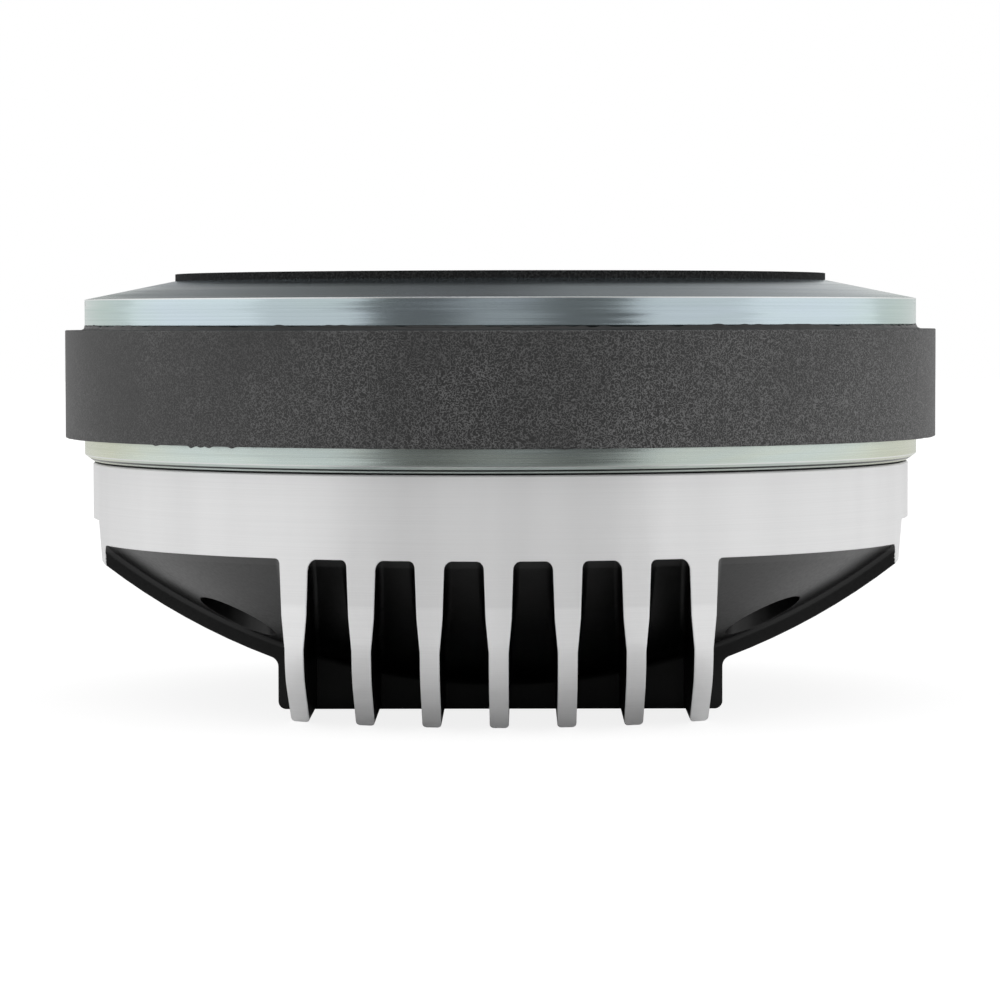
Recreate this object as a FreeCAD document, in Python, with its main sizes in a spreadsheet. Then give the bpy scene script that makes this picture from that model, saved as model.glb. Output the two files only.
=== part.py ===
import FreeCAD, Part
import os
import re
import Sketcher

# Compression driver with a ferrite ring magnet and a finned cast rear cover.
# The frame has its origin at the centre of the throat, on the steel mounting
# face. +Z is the way sound leaves, so the driver hangs below the mounting
# face and stands on the ends of its cooling fins. Fins run along Y.

# Driving dimensions in millimetres, one name for each size that can be set by itself.
SIZES = {
    # mounting face, its gasket and the front plate
    "shoulder_width": 17.2,
    "gasket_setback": 0.4,
    "gasket_thickness": 1.4,
    "front_plate_setback": 3.8,
    "front_plate_thickness": 9.4,
    "front_rim_drop": 3.5,
    "glue_height": 0.9,
    "glue_width": 0.6,
    "mount_circle_radius": 50.8,
    "mount_hole_radius": 2.5,
    "mount_hole_count": 4,
    "gasket_hole_clearance": 1.0,
    # throat and pole piece
    "throat_radius": 25.4,
    "throat_land": 7.0,
    "throat_taper": 4.4,
    "throat_exit_depth": 22.0,
    "pole_wall": 12.1,
    "shorting_ring_wall": 1.5,
    "pole_tip_height": 9.0,
    "shorting_ring_height": 8.0,
    "plug_seat_margin": 2.9,
    "plug_foot_step": 1.4,
    # phase plug: its rim, centre bullet, ring channels and ribs
    "plug_rim_margin": 0.7,
    "bullet_radius": 4.0,
    "bullet_height": 8.0,
    "inner_channel_share": 0.35,
    "middle_channel_share": 0.6,
    "outer_channel_share": 0.85,
    "channel_foot_width": 2.0,
    "channel_head_width": 1.2,
    "rib_count": 6,
    "rib_angle": 6.0,
    # magnet and gap plate
    "magnet_overhang": 3.7,
    "magnet_bore_margin": 7.5,
    "magnet_thickness": 20.8,
    "magnet_edge": 0.35,
    "gap_rim_overhang": 1.6,
    "gap_rim_thickness": 4.5,
    "gap_rim_bevel_width": 1.7,
    "gap_rim_bevel_height": 1.25,
    "gap_plate_thickness": 8.5,
    "spigot_margin": 12.0,
    "gap_width": 1.8,
    # moving diaphragm
    "former_clearance": 0.5,
    "former_wall": 0.2,
    "winding_wall": 0.5,
    "winding_height": 5.6,
    "winding_drop": 1.4,
    "former_overhang": 0.4,
    "dome_height": 13.0,
    "dome_wall": 0.2,
    "plug_gap": 0.9,
    "surround_width": 4.2,
    "surround_rise": 1.3,
    "surround_wall": 0.2,
    "surround_flange": 3.0,
    "ring_bore_margin": 1.2,
    # diaphragm ring and what holds it
    "shim_thickness": 0.3,
    "ring_band": 11.6,
    "ring_thickness": 3.0,
    "ring_screw_inset": 3.5,
    "ring_screw_radius": 1.5,
    "ring_screw_length": 7.0,
    "ring_screw_head_radius": 2.6,
    "ring_screw_head_height": 1.6,
    "ring_hole_play": 0.15,
    "pan_head_crown": 0.7,
    "pin_radius": 1.25,
    "pin_length": 6.0,
    # rear cover
    "cover_gasket_thickness": 0.3,
    "cover_gasket_setback": 0.9,
    "cover_seat_width": 13.7,
    "cover_height": 46.6,
    "band_height": 15.2,
    "band_edge": 0.3,
    "dome_outer_radius": 125.0,
    "cover_wall": 4.0,
    "chamber_ledge": 6.0,
    "ring_room": 1.0,
    "ring_room_depth": 6.0,
    "spigot_clearance": 0.3,
    # cooling fins, the bar across them and its wings
    "fin_count": 7,
    "fin_pitch": 12.25,
    "fin_root_thickness": 5.3,
    "fin_waist_thickness": 4.6,
    "fin_waist_drop": 10.3,
    "fin_tip_thickness": 3.5,
    "fin_tip_drop": 16.3,
    "fin_tip_round": 0.8,
    "fin_nose_setback": 17.7,
    "fin_nose_slope": 0.613,
    "fin_nose_round": 10.0,
    "fin_root_round": 1.2,
    "bar_half_width": 26.5,
    "bar_overhang": 5.55,
    "bar_edge_round": 1.5,
    "bar_root_round": 2.0,
    "wing_arc_radius": 123.0,
    "wing_arc_low": 44.6,
    "wing_flat_depth": 2.8,
    "wing_flat_drop": 10.75,
    "wing_flat_height": 12.0,
    "wing_flat_lean": 1.5,
    # cover screws in their wells
    "well_circle_margin": 5.97,
    "well_angle": 34.538,
    "well_radius": 7.0,
    "well_floor": 8.0,
    "cover_screw_radius": 2.5,
    "cover_screw_play": 0.3,
    "cover_screw_grip": 6.5,
    "cover_head_radius": 4.25,
    "cover_head_height": 5.0,
    "cover_head_edge": 0.4,
    "cover_socket_width": 4.0,
    "cover_socket_depth": 2.6,
    "washer_radius": 5.2,
    "washer_thickness": 1.0,
    # damping pad
    "pad_margin": 2.0,
    "pad_thickness": 5.0,
    # terminals on the far side of the band
    "window_half_width": 13.0,
    "window_height": 6.0,
    "notch_half_width": 19.0,
    "notch_height": 11.0,
    "notch_depth": 5.7,
    "block_thickness": 3.0,
    "block_depth": 8.0,
    "block_play": 0.2,
    "tab_width": 6.3,
    "tab_thickness": 0.8,
    "tab_spacing": 12.0,
    "tab_reach": 7.5,
    "tab_tail": 5.0,
    "tab_tip_chamfer": 1.2,
    "tab_hole_radius": 0.8,
    "tab_hole_setback": 3.6,
    "strip_width": 3.0,
    "strip_thickness": 0.2,
    "strip_setback": 1.0,
    "strip_gap": 0.5,
    "terminal_screw_x": 15.3,
    "terminal_screw_radius": 1.5,
    "terminal_screw_length": 8.0,
    "terminal_head_radius": 2.7,
    "terminal_head_height": 1.8,
    "terminal_hole_play": 0.2,
    # how far a cutting outline runs past the surface that it cuts
    "cut_overrun": 1.0,
}

# Radii, places and heights that follow from the driving dimensions, each by a named step.
# Radii run outwards from the throat, and heights downwards from the mounting face.
FOLLOWS = {
    "throat_exit_radius": "throat_radius - throat_taper",
    "pole_tip_radius": "throat_radius + pole_wall",
    "former_in": "pole_tip_radius + former_clearance",
    "former_out": "former_in + former_wall",
    "winding_out": "former_out + winding_wall",
    "gap_bore": "pole_tip_radius + gap_width",
    "surround_out": "former_out + surround_width",
    "ring_bore": "surround_out + ring_bore_margin",
    "ring_outer_radius": "surround_out + ring_band",
    "ring_screw_circle": "ring_outer_radius - ring_screw_inset",
    "ring_screw_x": "ring_screw_circle * sqrt(0.5)",
    "ring_screw_hole": "ring_screw_radius + ring_hole_play",
    "spigot_radius": "ring_outer_radius + spigot_margin",
    "cover_radius": "spigot_radius + cover_seat_width",
    "gap_rim_radius": "cover_radius + gap_rim_overhang",
    "magnet_radius": "gap_rim_radius + magnet_overhang",
    "front_plate_radius": "magnet_radius - front_plate_setback",
    "face_radius": "front_plate_radius - shoulder_width",
    "gasket_radius": "face_radius - gasket_setback",
    "magnet_bore_radius": "pole_tip_radius + magnet_bore_margin",
    "pole_body_radius": "pole_tip_radius - shorting_ring_wall",
    "plug_seat_radius": "pole_tip_radius - plug_seat_margin",
    "plug_foot_radius": "throat_exit_radius + plug_foot_step",
    "plug_rim_radius": "pole_tip_radius - plug_rim_margin",
    "mount_hole_x": "mount_circle_radius * sqrt(0.5)",
    "recess_radius": "spigot_radius + spigot_clearance",
    "room_radius": "ring_outer_radius + ring_room",
    "chamber_radius": "ring_outer_radius - chamber_ledge",
    "pad_radius": "chamber_radius - pad_margin",
    "fin_nose_radius": "cover_radius - fin_nose_setback",
    "bar_half_length": "0.5 * (fin_count - 1) * fin_pitch + bar_overhang",
    "wing_flat_x": "cover_radius - wing_flat_depth",
    "well_circle": "ring_outer_radius + well_circle_margin",
    "well_x": "well_circle * cos(well_angle)",
    "well_y": "well_circle * sin(well_angle)",
    "notch_floor_y": "cover_radius - notch_depth",
    "block_face": "notch_floor_y + block_thickness",
    "magnet_top": "-front_plate_thickness",
    "magnet_low": "magnet_top - magnet_thickness",
    "rim_low": "magnet_low - gap_rim_thickness",
    "gap_low": "magnet_low - gap_plate_thickness",
    "pole_step": "gap_low + pole_tip_height",
    "winding_low": "gap_low + winding_drop",
    "ring_top": "gap_low - shim_thickness",
    "ring_low": "ring_top - ring_thickness",
    "apex_low": "ring_low - dome_height",
    "cover_top": "rim_low - cover_gasket_thickness",
    "band_low": "cover_top - band_height",
    "cover_low": "cover_top - cover_height",
    "recess_low": "gap_low - spigot_clearance",
    "room_low": "recess_low - ring_room_depth",
    "well_floor_z": "recess_low - well_floor",
    "cover_screw_seat": "well_floor_z - washer_thickness",
    "window_top": "ring_low + 0.5 * window_height",
    "window_low": "ring_low - 0.5 * window_height",
    "tab_top": "ring_low - strip_thickness",
    "diaphragm_sphere": "(former_out^2 + dome_height^2) / (2 * dome_height)",
    "diaphragm_centre": "apex_low + diaphragm_sphere",
    "plug_sphere": "diaphragm_sphere - dome_wall - plug_gap",
    "bowl_centre": "band_low + sqrt(dome_outer_radius^2 - cover_radius^2)",
    "chamber_sphere": "dome_outer_radius - cover_wall",
}

PARTS_FOLDER = "parts"
NEAR = 0.01
ACROSS_X = (1, 0, 0)
ACROSS_Y = (0, 1, 0)

doc = FreeCAD.newDocument("compression_driver")
nodes = []


def cell(word):
    """The sheet's cell for a size, the bound expression for what follows, or else the word itself."""
    if word in SIZES:
        return f"Sizes.{word}"
    if word in FOLLOWS:
        return f"({bound(FOLLOWS[word])})"
    return word


def bound(text):
    """Text of an expression with each size written as the sheet's own cell."""
    return re.sub(r"[a-z_]+", lambda found: cell(found[0]), text)


def value(text):
    """Number that an expression has now."""
    return float(sheet.evalExpression(bound(text)))


def fill_sheet():
    """Spreadsheet with one aliased cell for each driving dimension."""
    new_sheet = doc.addObject("Spreadsheet::Sheet", "Sizes")
    for row, (alias, size) in enumerate(SIZES.items(), start=1):
        new_sheet.set(f"A{row}", alias)
        new_sheet.set(f"B{row}", str(size))
        new_sheet.setAlias(f"B{row}", alias)
    doc.recompute()
    return new_sheet


def new_body(label, grouped=False):
    """Empty body whose label names the piece; a grouped one is only a group's first copy."""
    body = doc.addObject("PartDesign::Body", label)
    body.Label = label
    if not grouped:
        nodes.append(body)
    return body


def mirrored_group(label, master, normals):
    """Group of separate solids: a piece and its mirror images across planes through Z."""
    group = master
    for step, normal in enumerate(normals, start=1):
        image = doc.addObject("Part::Mirroring", f"{label}_image{step}")
        image.Source = group
        image.Normal = FreeCAD.Vector(*normal)
        pair = doc.addObject("Part::Compound", f"{label}_set{step}")
        pair.Links = [group, image]
        group = pair
    group.Label = label
    nodes.append(group)


def origin_item(body, role):
    """Plane or axis of the body's own origin."""
    return next(item for item in body.Origin.OriginFeatures if item.Role == role)


def new_sketch(body, name, role="XZ_Plane", offset=None):
    """Sketch on one of the body's origin planes, moved along its normal by offset."""
    sketch = body.newObject("Sketcher::SketchObject", f"{body.Label}_{name}")
    sketch.AttachmentSupport = [(origin_item(body, role), "")]
    sketch.MapMode = "FlatFace"
    if offset:
        sketch.setExpression("AttachmentOffset.Base.z", bound(offset))
    return sketch


def pin_down(sketch, geometry, point, across, up):
    """Tie a point of the sketch to expressions for its two coordinates."""
    for kind, axis, text in (("DistanceX", -2, across), ("DistanceY", -1, up)):
        if text is None:
            continue
        number = value(text)
        if text == "0":
            sketch.addConstraint(Sketcher.Constraint("PointOnObject", geometry, point, axis))
            continue
        index = sketch.addConstraint(Sketcher.Constraint(kind, geometry, point, number))
        sketch.setExpression(f"Constraints[{index}]", bound(text))


def outline(sketch, corners, arcs=None):
    """Closed outline through corners, each a pair of expressions.

    arcs maps a corner's number to the centre of the arc that runs from it to the
    next corner. The corner where an arc ends leaves one coordinate out as None.
    """
    arcs = arcs or {}
    places = []
    for number, (across, up) in enumerate(corners):
        if across is not None and up is not None:
            places.append(FreeCAD.Vector(value(across), value(up), 0))
            continue
        centre_x, centre_y = (value(text) for text in arcs[number - 1])
        start = places[-1]
        radius = ((start.x - centre_x) ** 2 + (start.y - centre_y) ** 2) ** 0.5
        if up is None:
            x = value(across)
            rise = (radius ** 2 - (x - centre_x) ** 2) ** 0.5
            side = 1 if start.y > centre_y else -1
            places.append(FreeCAD.Vector(x, centre_y + side * rise, 0))
        else:
            y = value(up)
            reach = (radius ** 2 - (y - centre_y) ** 2) ** 0.5
            side = 1 if value(corners[(number + 1) % len(corners)][0]) > centre_x else -1
            places.append(FreeCAD.Vector(centre_x + side * reach, y, 0))
    first = sketch.GeometryCount
    starts = []
    ends = []
    for number, start in enumerate(places):
        end = places[(number + 1) % len(places)]
        if number not in arcs:
            sketch.addGeometry(Part.LineSegment(start, end), False)
            starts.append(1)
            ends.append(2)
            continue
        centre = FreeCAD.Vector(*(value(text) for text in arcs[number]), 0)
        turn = (start - centre).cross(end - centre).z
        low, high = (start, end) if turn > 0 else (end, start)
        circle = Part.Circle(centre, FreeCAD.Vector(0, 0, 1), (start - centre).Length)
        arc = Part.ArcOfCircle(circle, circle.parameter(low), circle.parameter(high))
        sketch.addGeometry(arc, False)
        starts.append(1 if turn > 0 else 2)
        ends.append(2 if turn > 0 else 1)
        pin_down(sketch, first + number, 3, *arcs[number])
    count = len(places)
    for number in range(count):
        following = (number + 1) % count
        sketch.addConstraint(Sketcher.Constraint(
            "Coincident", first + number, ends[number], first + following, starts[following]))
    for number, (across, up) in enumerate(corners):
        pin_down(sketch, first + number, starts[number], across, up)
    return sketch


def circles(sketch, places, radius):
    """Circles of one radius at places, each a pair of expressions."""
    for across, up in places:
        centre = FreeCAD.Vector(value(across), value(up), 0)
        index = sketch.addGeometry(Part.Circle(centre, FreeCAD.Vector(0, 0, 1), value(radius)), False)
        pin_down(sketch, index, 3, across, up)
        size = sketch.addConstraint(Sketcher.Constraint("Radius", index, value(radius)))
        sketch.setExpression(f"Constraints[{size}]", bound(radius))
    return sketch


def box_corners(left, right, low, high):
    """Four corners of an upright rectangle."""
    return [(left, low), (right, low), (right, high), (left, high)]


def turn(body, name, sketch, kind="Revolution", angle="360"):
    """Sketch turned about the body's Z axis, as a form or as a cut."""
    feature = body.newObject(f"PartDesign::{kind}", f"{body.Label}_{name}")
    feature.Profile = sketch
    feature.ReferenceAxis = (sketch, ["V_Axis"])
    feature.setExpression("Angle", bound(angle))
    body.Tip = feature
    return feature


def revolve(body, name, corners, arcs=None, kind="Revolution"):
    """Full turn of an outline given by its corners."""
    return turn(body, name, outline(new_sketch(body, f"{name}_outline"), corners, arcs), kind)


def extrude(body, name, sketch, length, kind="Pad", middle=False, reverse=False):
    """Pad or pocket of a sketch."""
    feature = body.newObject(f"PartDesign::{kind}", f"{body.Label}_{name}")
    feature.Profile = sketch
    feature.setExpression("Length", bound(length))
    feature.Midplane = middle
    feature.Reversed = reverse
    body.Tip = feature
    return feature


def round_pattern(body, name, feature, count):
    """Copies of a feature about the body's Z axis."""
    pattern = body.newObject("PartDesign::PolarPattern", f"{body.Label}_{name}")
    pattern.Originals = [feature]
    pattern.Axis = (origin_item(body, "Z_Axis"), [""])
    pattern.Angle = 360
    pattern.setExpression("Occurrences", bound(count))
    body.Tip = pattern
    return pattern


def row_pattern(body, name, feature, length, count):
    """Copies of a feature in a row along the body's X axis."""
    pattern = body.newObject("PartDesign::LinearPattern", f"{body.Label}_{name}")
    pattern.Originals = [feature]
    pattern.Direction = (origin_item(body, "X_Axis"), [""])
    pattern.setExpression("Length", bound(length))
    pattern.setExpression("Occurrences", bound(count))
    body.Tip = pattern
    return pattern


def edges_at(feature, test):
    """Names of the feature's edges that pass a test on their middle point and direction."""
    doc.recompute()
    names = []
    for number, edge in enumerate(feature.Shape.Edges, start=1):
        if edge.Degenerated:
            continue
        middle = edge.valueAt((edge.FirstParameter + edge.LastParameter) / 2)
        along = edge.tangentAt((edge.FirstParameter + edge.LastParameter) / 2)
        if test(middle, along):
            names.append(f"Edge{number}")
    return names


def round_edges(body, name, feature, test, radius):
    """Fillet of the edges that pass a test."""
    fillet = body.newObject("PartDesign::Fillet", f"{body.Label}_{name}")
    fillet.Base = (feature, edges_at(feature, test))
    fillet.setExpression("Radius", bound(radius))
    body.Tip = fillet
    return fillet


def ring(label, inner, outer, low, high):
    """Plain turned ring."""
    body = new_body(label)
    revolve(body, "ring", box_corners(inner, outer, low, high))
    return body


sheet = fill_sheet()


def front_gasket():
    """Foam ring on the mounting face, with a hole for each mounting bolt."""
    body = ring("front_gasket", "throat_radius", "gasket_radius", "0", "gasket_thickness")
    sketch = new_sketch(body, "hole_centre", "XY_Plane")
    circles(sketch, [("mount_hole_x", "mount_hole_x")],
            "mount_hole_radius + gasket_hole_clearance")
    hole = extrude(body, "hole", sketch, "gasket_thickness", "Pocket", reverse=True)
    round_pattern(body, "holes", hole, "mount_hole_count")


def front_plate():
    """Steel front plate: flat mounting face, sloping shoulder and upright rim."""
    body = new_body("front_plate")
    corners = [
        ("pole_body_radius", "0"),
        ("face_radius", "0"),
        ("front_plate_radius", "-front_rim_drop"),
        ("front_plate_radius", "magnet_top + glue_height"),
        ("front_plate_radius - glue_height", "magnet_top"),
        ("pole_body_radius", "magnet_top"),
    ]
    revolve(body, "disc", corners)
    sketch = new_sketch(body, "hole_centre", "XY_Plane")
    circles(sketch, [("mount_hole_x", "mount_hole_x")],
            "mount_hole_radius")
    hole = extrude(body, "hole", sketch, "front_plate_thickness", "Pocket")
    round_pattern(body, "holes", hole, "mount_hole_count")


def front_glue_bead():
    """Adhesive squeezed out in the corner between the front plate and the magnet."""
    body = new_body("front_glue_bead")
    corners = [
        ("front_plate_radius - glue_height", "magnet_top"),
        ("front_plate_radius", "magnet_top + glue_height"),
        ("front_plate_radius + glue_width", "magnet_top"),
    ]
    revolve(body, "bead", corners)


def pole_piece():
    """Steel pole pressed into the front plate, bored as the throat, with a thicker tip in the gap."""
    body = new_body("pole_piece")
    corners = [
        ("throat_radius", "0"),
        ("pole_body_radius", "0"),
        ("pole_body_radius", "pole_step"),
        ("pole_tip_radius", "pole_step"),
        ("pole_tip_radius", "gap_low"),
        ("plug_seat_radius", "gap_low"),
        ("plug_foot_radius", "-throat_exit_depth"),
        ("throat_exit_radius", "-throat_exit_depth"),
        ("throat_radius", "-throat_land"),
    ]
    revolve(body, "pole", corners)


def phase_plug():
    """Phase plug: rings round a centre bullet, parted by three ring channels and held by six ribs."""
    body = new_body("phase_plug")
    corners = [
        ("0", "-throat_exit_depth + bullet_height"),
        ("bullet_radius", "-throat_exit_depth"),
        ("plug_foot_radius", "-throat_exit_depth"),
        ("plug_seat_radius", "gap_low"),
        ("plug_rim_radius", "gap_low"),
        ("plug_rim_radius", "diaphragm_centre - sqrt(plug_sphere^2 - plug_rim_radius^2)"),
        ("0", None),
    ]
    revolve(body, "blank", corners, {5: ("0", "diaphragm_centre")})
    sketch = new_sketch(body, "channel_outline")
    for channel in ("inner", "middle", "outer"):
        foot = f"{channel}_channel_share * plug_foot_radius"
        head = f"{channel}_channel_share * plug_rim_radius"
        outline(sketch, [
            (f"{foot} - 0.5 * channel_foot_width", "-throat_exit_depth + cut_overrun"),
            (f"{foot} + 0.5 * channel_foot_width", "-throat_exit_depth + cut_overrun"),
            (f"{head} + 0.5 * channel_head_width", "apex_low"),
            (f"{head} - 0.5 * channel_head_width", "apex_low"),
        ])
    sector = turn(body, "sector", sketch, "Groove", "360 / rib_count - rib_angle")
    round_pattern(body, "channels", sector, "rib_count")


def diaphragm_dome():
    """Thin spherical dome that bulges into the rear cover."""
    body = new_body("diaphragm_dome")
    inner = "(diaphragm_sphere - dome_wall)"
    corners = [
        ("former_out", "ring_low"),
        ("0", None),
        ("0", f"diaphragm_centre - {inner}"),
        (f"sqrt({inner}^2 - (diaphragm_centre - ring_low)^2)", None),
    ]
    revolve(body, "shell", corners, {0: ("0", "diaphragm_centre"), 2: ("0", "diaphragm_centre")})


def diaphragm_surround():
    """Half-roll of film between the dome's edge and the flange bonded to the ring."""
    body = new_body("diaphragm_surround")
    middle = "(former_out + 0.5 * surround_width)"
    roll_radius = "((0.25 * surround_width^2 + surround_rise^2) / (2 * surround_rise))"
    roll_centre = f"(ring_low - surround_rise + {roll_radius})"
    flange_edge = "(surround_out + surround_flange)"
    corners = [
        ("former_out", "ring_low - surround_wall"),
        ("surround_out", None),
        (flange_edge, "ring_low - surround_wall"),
        (flange_edge, "ring_low"),
        ("surround_out", "ring_low"),
        ("former_out", None),
    ]
    centres = {0: (middle, f"{roll_centre} - surround_wall"), 4: (middle, roll_centre)}
    revolve(body, "roll", corners, centres)


def coil_former():
    """Tube that carries the winding, glued to the dome's edge."""
    ring("coil_former", "former_in", "former_out", "ring_low", "winding_low + winding_height + former_overhang")


def coil_winding():
    """Voice coil winding on the former, in the magnet gap."""
    ring("coil_winding", "former_out", "winding_out", "winding_low", "winding_low + winding_height")


def shorting_ring():
    """Copper sleeve on the pole, just in front of its tip."""
    ring("shorting_ring", "pole_body_radius", "pole_tip_radius", "pole_step",
         "pole_step + shorting_ring_height")


def magnet_ring():
    """Ferrite ring with small ground bevels."""
    body = new_body("magnet_ring")
    corners = [
        ("magnet_bore_radius", "magnet_low"),
        ("magnet_radius - magnet_edge", "magnet_low"),
        ("magnet_radius", "magnet_low + magnet_edge"),
        ("magnet_radius", "magnet_top - magnet_edge"),
        ("magnet_radius - magnet_edge", "magnet_top"),
        ("magnet_bore_radius", "magnet_top"),
    ]
    revolve(body, "ring", corners)


RING_SCREW_PLACES = [("ring_screw_x", "ring_screw_x"), ("-ring_screw_x", "ring_screw_x"),
                     ("-ring_screw_x", "-ring_screw_x"), ("ring_screw_x", "-ring_screw_x")]
PIN_PLACES = [("ring_screw_circle", "0"), ("-ring_screw_circle", "0")]
TERMINAL_SCREW_PLACES = [("terminal_screw_x", "ring_low"), ("-terminal_screw_x", "ring_low")]
WELL_PLACES = [("well_x", "well_y"), ("-well_x", "well_y"), ("-well_x", "-well_y"), ("well_x", "-well_y")]


def drill(body, name, places, radius, height, depth, upward):
    """Round holes along Z, from a height, upward or downward."""
    sketch = circles(new_sketch(body, f"{name}_places", "XY_Plane", height), places, radius)
    return extrude(body, name, sketch, depth, "Pocket", reverse=upward)


def gap_plate():
    """Steel gap plate: bevelled rim, and a round spigot that centres the rear cover."""
    body = new_body("gap_plate")
    corners = [
        ("gap_bore", "magnet_low"),
        ("gap_rim_radius", "magnet_low"),
        ("gap_rim_radius", "rim_low + gap_rim_bevel_height"),
        ("gap_rim_radius - gap_rim_bevel_width", "rim_low"),
        ("spigot_radius", "rim_low"),
        ("spigot_radius", "gap_low"),
        ("gap_bore", "gap_low"),
    ]
    revolve(body, "disc", corners)
    screw_depth = "(ring_screw_length - ring_thickness - shim_thickness)"
    pin_depth = "(pin_length - ring_thickness - shim_thickness)"
    drill(body, "ring_screw_holes", RING_SCREW_PLACES, "ring_screw_radius", "gap_low", screw_depth, True)
    drill(body, "pin_holes", PIN_PLACES, "pin_radius", "gap_low", pin_depth, True)
    drill(body, "cover_screw_holes", WELL_PLACES, "cover_screw_radius", "gap_low", "cover_screw_grip", True)


def diaphragm_shim():
    """Thin shim that sets the diaphragm's height over the phase plug."""
    body = ring("diaphragm_shim", "ring_bore", "ring_outer_radius", "ring_top", "gap_low")
    drill(body, "screw_holes", RING_SCREW_PLACES, "ring_screw_hole", "ring_top", "shim_thickness", True)
    drill(body, "pin_holes", PIN_PLACES, "pin_radius", "ring_top", "shim_thickness", True)


def diaphragm_ring():
    """Ring that carries the diaphragm, with holes for its screws and locating pins."""
    body = ring("diaphragm_ring", "ring_bore", "ring_outer_radius", "ring_low", "ring_top")
    drill(body, "screw_holes", RING_SCREW_PLACES, "ring_screw_hole", "ring_low", "ring_thickness", True)
    drill(body, "pin_holes", PIN_PLACES, "pin_radius", "ring_low", "ring_thickness", True)


def ring_screws():
    """Four pan-head screws that hold the diaphragm ring."""
    body = new_body("ring_screw", grouped=True)
    corners = [
        ("0", "ring_low - ring_screw_head_height"),
        ("pan_head_crown * ring_screw_head_radius", "ring_low - ring_screw_head_height"),
        ("ring_screw_head_radius", "ring_low - 0.5 * ring_screw_head_height"),
        ("ring_screw_head_radius", "ring_low"),
        ("ring_screw_radius", "ring_low"),
        ("ring_screw_radius", "ring_low + ring_screw_length"),
        ("0", "ring_low + ring_screw_length"),
    ]
    revolve(body, "shape", corners)
    body.setExpression("Placement.Base.x", bound("ring_screw_x"))
    body.setExpression("Placement.Base.y", bound("ring_screw_x"))
    mirrored_group("ring_screws", body, [ACROSS_X, ACROSS_Y])


def locating_pins():
    """Two pins that centre the diaphragm ring on the gap plate."""
    body = new_body("locating_pin", grouped=True)
    revolve(body, "shape", box_corners("0", "pin_radius", "ring_low", "ring_low + pin_length"))
    body.setExpression("Placement.Base.x", bound("ring_screw_circle"))
    mirrored_group("locating_pins", body, [ACROSS_X])


def cover_gasket():
    """Thin gasket between the gap plate's rim and the rear cover."""
    ring("cover_gasket", "recess_radius", "cover_radius - cover_gasket_setback", "cover_top", "rim_low")


def rear_cover():
    """Cast rear cover: a domed bowl with seven fins, a bar across them and two wings, turned on a lathe."""
    body = new_body("rear_cover")
    bowl = [
        ("0", "cover_top"),
        ("cover_radius - band_edge", "cover_top"),
        ("cover_radius", "cover_top - band_edge"),
        ("cover_radius", "band_low"),
        ("0", None),
    ]
    revolve(body, "bowl", bowl, {3: ("0", "bowl_centre")})
    cover_bar(body)
    cover_fins(body)
    cover_nose(body)
    cover_roots(body)
    cover_chamber(body)
    cover_cuts(body)


def cover_bar(body):
    """Bar across the fins, level with their ends, that runs out into a wing at each side."""
    wing_centre = "(cover_top - wing_arc_low + wing_arc_radius)"
    inside = "(band_low + cut_overrun)"
    corners = [
        ("-cover_radius", inside),
        ("-cover_radius", f"{wing_centre} - sqrt(wing_arc_radius^2 - cover_radius^2)"),
        ("-bar_half_length", None),
        ("-bar_half_length", "cover_low"),
        ("bar_half_length", "cover_low"),
        ("bar_half_length", f"{wing_centre} - sqrt(wing_arc_radius^2 - bar_half_length^2)"),
        ("cover_radius", None),
        ("cover_radius", inside),
    ]
    sketch = outline(new_sketch(body, "bar_outline"), corners, {1: ("0", wing_centre), 5: ("0", wing_centre)})
    bar = extrude(body, "bar", sketch, "2 * bar_half_width", middle=True)
    side = value("bar_half_length")
    low = value("cover_low")

    def runs_along_y(middle, along):
        return abs(abs(middle.x) - side) < NEAR and abs(middle.y) < NEAR and abs(along.y) > 1 - NEAR

    bar = round_edges(body, "bar_edges", bar,
                      lambda middle, along: runs_along_y(middle, along) and abs(middle.z - low) < NEAR,
                      "bar_edge_round")
    round_edges(body, "bar_roots", bar,
                lambda middle, along: runs_along_y(middle, along) and middle.z > low + NEAR,
                "bar_root_round")


def cover_fins(body):
    """Seven parallel fins that thin towards their ends, with rounded tips."""
    middle = "(-0.5 * (fin_count - 1) * fin_pitch)"
    root = "(0.5 * fin_root_thickness)"
    waist = "(0.5 * fin_waist_thickness)"
    tip = "(0.5 * fin_tip_thickness)"
    tip_round = "cover_low + fin_tip_round"
    corners = [
        (f"{middle} + {root}", "band_low + cut_overrun"),
        (f"{middle} - {root}", "band_low + cut_overrun"),
        (f"{middle} - {root}", "band_low"),
        (f"{middle} - {waist}", "band_low - fin_waist_drop"),
        (f"{middle} - {tip}", "band_low - fin_tip_drop"),
        (f"{middle} - {tip}", tip_round),
        (f"{middle} - {tip} + fin_tip_round", None),
        (f"{middle} + {tip} - fin_tip_round", "cover_low"),
        (None, tip_round),
        (f"{middle} + {tip}", "band_low - fin_tip_drop"),
        (f"{middle} + {waist}", "band_low - fin_waist_drop"),
        (f"{middle} + {root}", "band_low"),
    ]
    centres = {5: (f"{middle} - {tip} + fin_tip_round", tip_round),
               7: (f"{middle} + {tip} - fin_tip_round", tip_round)}
    sketch = outline(new_sketch(body, "fin_outline"), corners, centres)
    fin = extrude(body, "fin", sketch, "2 * (cover_radius + cut_overrun)", middle=True)
    row_pattern(body, "fins", fin, "(fin_count - 1) * fin_pitch", "fin_count")


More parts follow.
